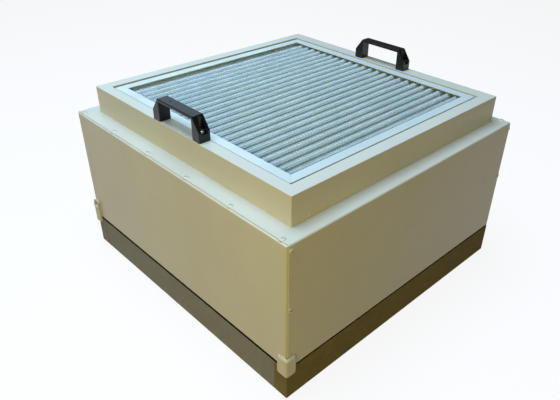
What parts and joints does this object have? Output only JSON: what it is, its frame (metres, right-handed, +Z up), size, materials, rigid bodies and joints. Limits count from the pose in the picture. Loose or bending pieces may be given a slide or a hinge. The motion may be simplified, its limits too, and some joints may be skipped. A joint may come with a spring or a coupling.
{
  "type": "fan filter unit",
  "caption": "Ceiling fan filter unit: folded steel housing over a pleated outlet filter, a centrifugal fan inside, and a lift-out coarse filter in a raised collar with bridge handles",
  "frame": {"origin": "middle of the outlet filter's bottom face, on the plane that the unit rests on", "axes": "+Z up from the outlet filter to the coarse filter, X along the handles, the tabbed face looks towards -Y"},
  "size_m": [0.5826, 0.5771, 0.3813],
  "materials": {
    "cream_paint": "semi-gloss powder coat on folded steel sheet",
    "filter_board": "sealed fibreboard with a plain brown face",
    "filter_paper": "white glass-fibre paper, pleated",
    "potting": "cast resin, matte",
    "guard_paint": "white powder coat",
    "gasket_foam": "closed-cell black foam",
    "coarse_channel": "plain mill finish channel",
    "coarse_mat": "grey-white synthetic mat, pleated",
    "black_plastic": "satin moulded nylon",
    "plated_steel": "bright zinc plate",
    "galvanised": "galvanised sheet, dull",
    "impeller_alloy": "plain alloy sheet",
    "motor_paint": "black baked enamel",
    "lamination": "varnished lamination stack",
    "copper_winding": "enamelled copper coils, bound",
    "bearing_steel": "ground and polished",
    "damper_rubber": "moulded rubber",
    "box_plastic": "light grey moulding"
  },
  "bodies": {
    "unit": {"filter_board_front": "filter_board", "filter_board_rear": "filter_board", "filter_board_left": "filter_board", "filter_board_right": "filter_board", "filter_board_screws": "plated_steel", "filter_pack": "filter_paper", "filter_potting": "potting", "filter_face_guard": "guard_paint", "housing_gasket": "gasket_foam", "front_panel": "cream_paint", "rear_panel": "cream_paint", "wrapper": "cream_paint", "collar": "cream_paint", "collar_seat": "cream_paint", "corner_tab_left": "cream_paint", "corner_tab_right": "cream_paint", "tab_bolt": "plated_steel", "shelf_screws": "cream_paint", "side_screws": "cream_paint", "collar_rivets": "cream_paint", "coarse_frame_front": "coarse_channel", "coarse_frame_right": "coarse_channel", "coarse_frame_rear": "coarse_channel", "coarse_frame_left": "coarse_channel", "coarse_media": "coarse_mat", "handle_front": "black_plastic", "handle_rear": "black_plastic", "handle_screws": "plated_steel", "handle_nuts": "plated_steel", "fan_deck": "galvanised", "inlet_ring": "galvanised", "inlet_ring_screws": "plated_steel", "stator_base": "motor_paint", "stator_core": "lamination", "stator_windings": "copper_winding", "bearing_lower": "bearing_steel", "bearing_upper": "bearing_steel", "motor_plate": "galvanised", "motor_screws": "plated_steel", "rubber_mounts": "damper_rubber", "mount_bolts": "plated_steel", "mount_nuts": "plated_steel", "carrier_rail_front": "galvanised", "carrier_rail_rear": "galvanised", "flow_spreader": "galvanised", "terminal_box": "box_plastic", "terminal_box_lid": "box_plastic", "capacitor": "box_plastic", "capacitor_nut": "plated_steel"},
    "fan": {"impeller_shroud": "impeller_alloy", "impeller_blades": "impeller_alloy", "impeller_back_plate": "impeller_alloy", "impeller_screws": "plated_steel", "rotor_can": "motor_paint", "rotor_core": "lamination", "rotor_shaft": "bearing_steel", "shaft_circlip": "plated_steel"}
  },
  "joints": [
    {"name": "fan_spin", "type": "hinge", "parent": "unit", "child": "fan", "pos_m": [0, 0, 0.18], "axis": [0, 0, 1], "continuous": true}
  ]
}
